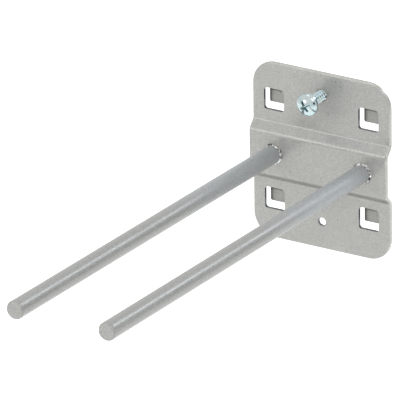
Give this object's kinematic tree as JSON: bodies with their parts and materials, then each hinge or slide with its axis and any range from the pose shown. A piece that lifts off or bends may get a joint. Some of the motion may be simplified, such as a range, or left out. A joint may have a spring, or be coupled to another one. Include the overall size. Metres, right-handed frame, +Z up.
{
  "type": "pegboard hook",
  "caption": "Two-prong steel hook on a folded back plate with lugs for a square-hole panel and a locking screw.",
  "frame": {"origin": "on the panel's face, midway between the four lugs", "axes": "+X to the right, +Y back into the panel, +Z up; the rods point along -Y and lean up by 3 degrees"},
  "size_m": [0.0556, 0.182, 0.0674],
  "materials": {
    "silver_paint": "satin silver-grey coat with a fine metallic grain",
    "bright_zinc": "bright bluish zinc plating"
  },
  "bodies": {
    "hook": {"back_plate": "silver_paint", "left_rod": "silver_paint", "right_rod": "silver_paint"},
    "screw": {"locking_screw": "bright_zinc"}
  },
  "joints": [
    {"name": "screw_travel", "type": "slide", "parent": "hook", "child": "screw", "axis": [0, 1, 0], "range_m": [0, 0.00875]}
  ]
}
